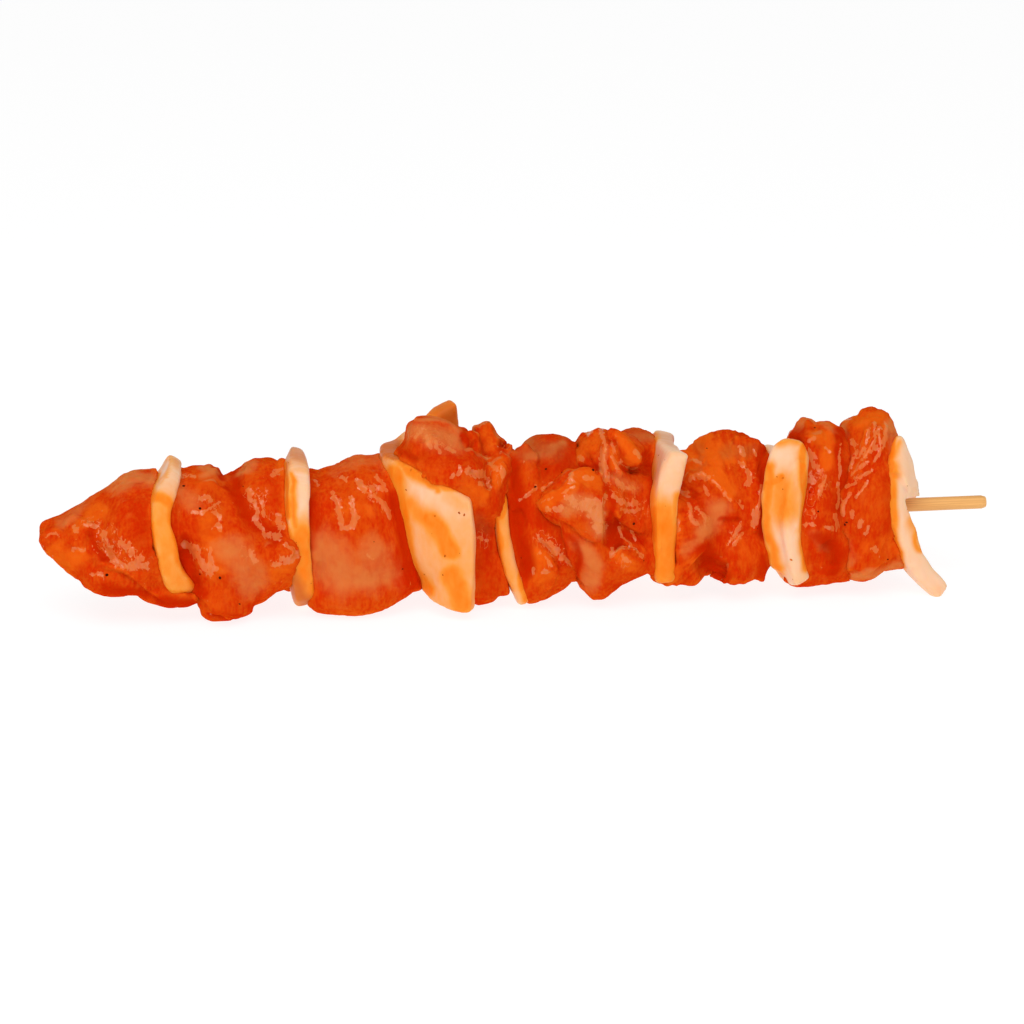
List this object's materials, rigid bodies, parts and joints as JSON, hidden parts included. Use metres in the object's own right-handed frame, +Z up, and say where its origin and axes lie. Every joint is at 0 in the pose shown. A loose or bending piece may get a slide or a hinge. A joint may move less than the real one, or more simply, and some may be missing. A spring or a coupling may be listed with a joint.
{
  "type": "chicken kebab skewer",
  "caption": "Raw marinated chicken chunks and curved onion pieces threaded on a round wooden skewer, lying on its side, uncooked.",
  "frame": {"origin": "on the floor under the middle of the whole length, centred across it", "axes": "+X runs along the stick towards its blunt bare end, +Z is up, and -Y is the side that the picture shows"},
  "size_m": [0.204, 0.0332, 0.0415],
  "materials": {
    "chicken": "wet raw chicken meat in an orange-red marinade, glossy",
    "onion": "moist cream-white onion stained orange by the marinade",
    "stick": "plain pale bamboo, smooth and unvarnished"
  },
  "bodies": {
    "root": {"skewer": "stick", "chicken_1": "chicken", "chicken_2": "chicken", "chicken_3": "chicken", "chicken_4": "chicken", "chicken_5": "chicken", "chicken_6": "chicken", "chicken_7": "chicken", "chicken_8": "chicken", "chicken_9": "chicken", "onion_1": "onion", "onion_2": "onion", "onion_3": "onion", "onion_4": "onion", "onion_5": "onion", "onion_6": "onion", "onion_7": "onion"}
  },
  "joints": []
}
